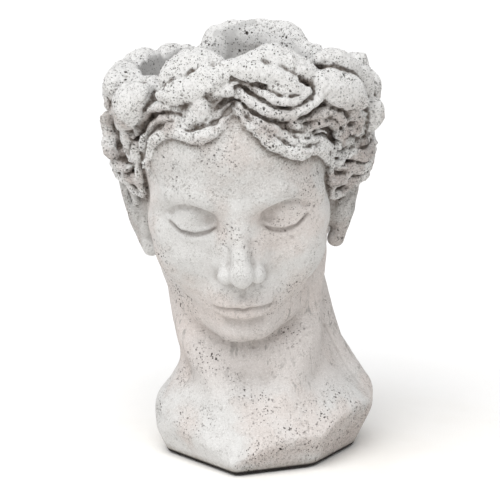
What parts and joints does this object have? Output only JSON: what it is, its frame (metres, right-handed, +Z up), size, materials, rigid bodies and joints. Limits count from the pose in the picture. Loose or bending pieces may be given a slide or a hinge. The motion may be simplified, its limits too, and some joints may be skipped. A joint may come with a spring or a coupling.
{
  "type": "head planter",
  "caption": "Hollow cast-stone planter shaped as a classical head on a cut neck base, open at the crown, with a drain stopper and felt pads.",
  "frame": {"origin": "on the floor, under the middle of the part's box", "axes": "+Z up; the face looks towards -Y; +X towards the head's own left side"},
  "size_m": [0.2005, 0.1874, 0.297],
  "materials": {
    "cast_stone": "whitewashed cement, matt and pitted",
    "black_rubber": "moulded, matt",
    "felt": "pressed wool felt"
  },
  "bodies": {
    "planter": {"cast_head": "cast_stone", "felt_pad_front": "felt", "felt_pad_right": "felt", "felt_pad_back": "felt", "felt_pad_left": "felt"},
    "stopper": {"drain_stopper": "black_rubber"}
  },
  "joints": [
    {"name": "stopper_lift", "type": "slide", "parent": "planter", "child": "stopper", "axis": [0, 0, 1], "range_m": [0, 0.3]}
  ]
}
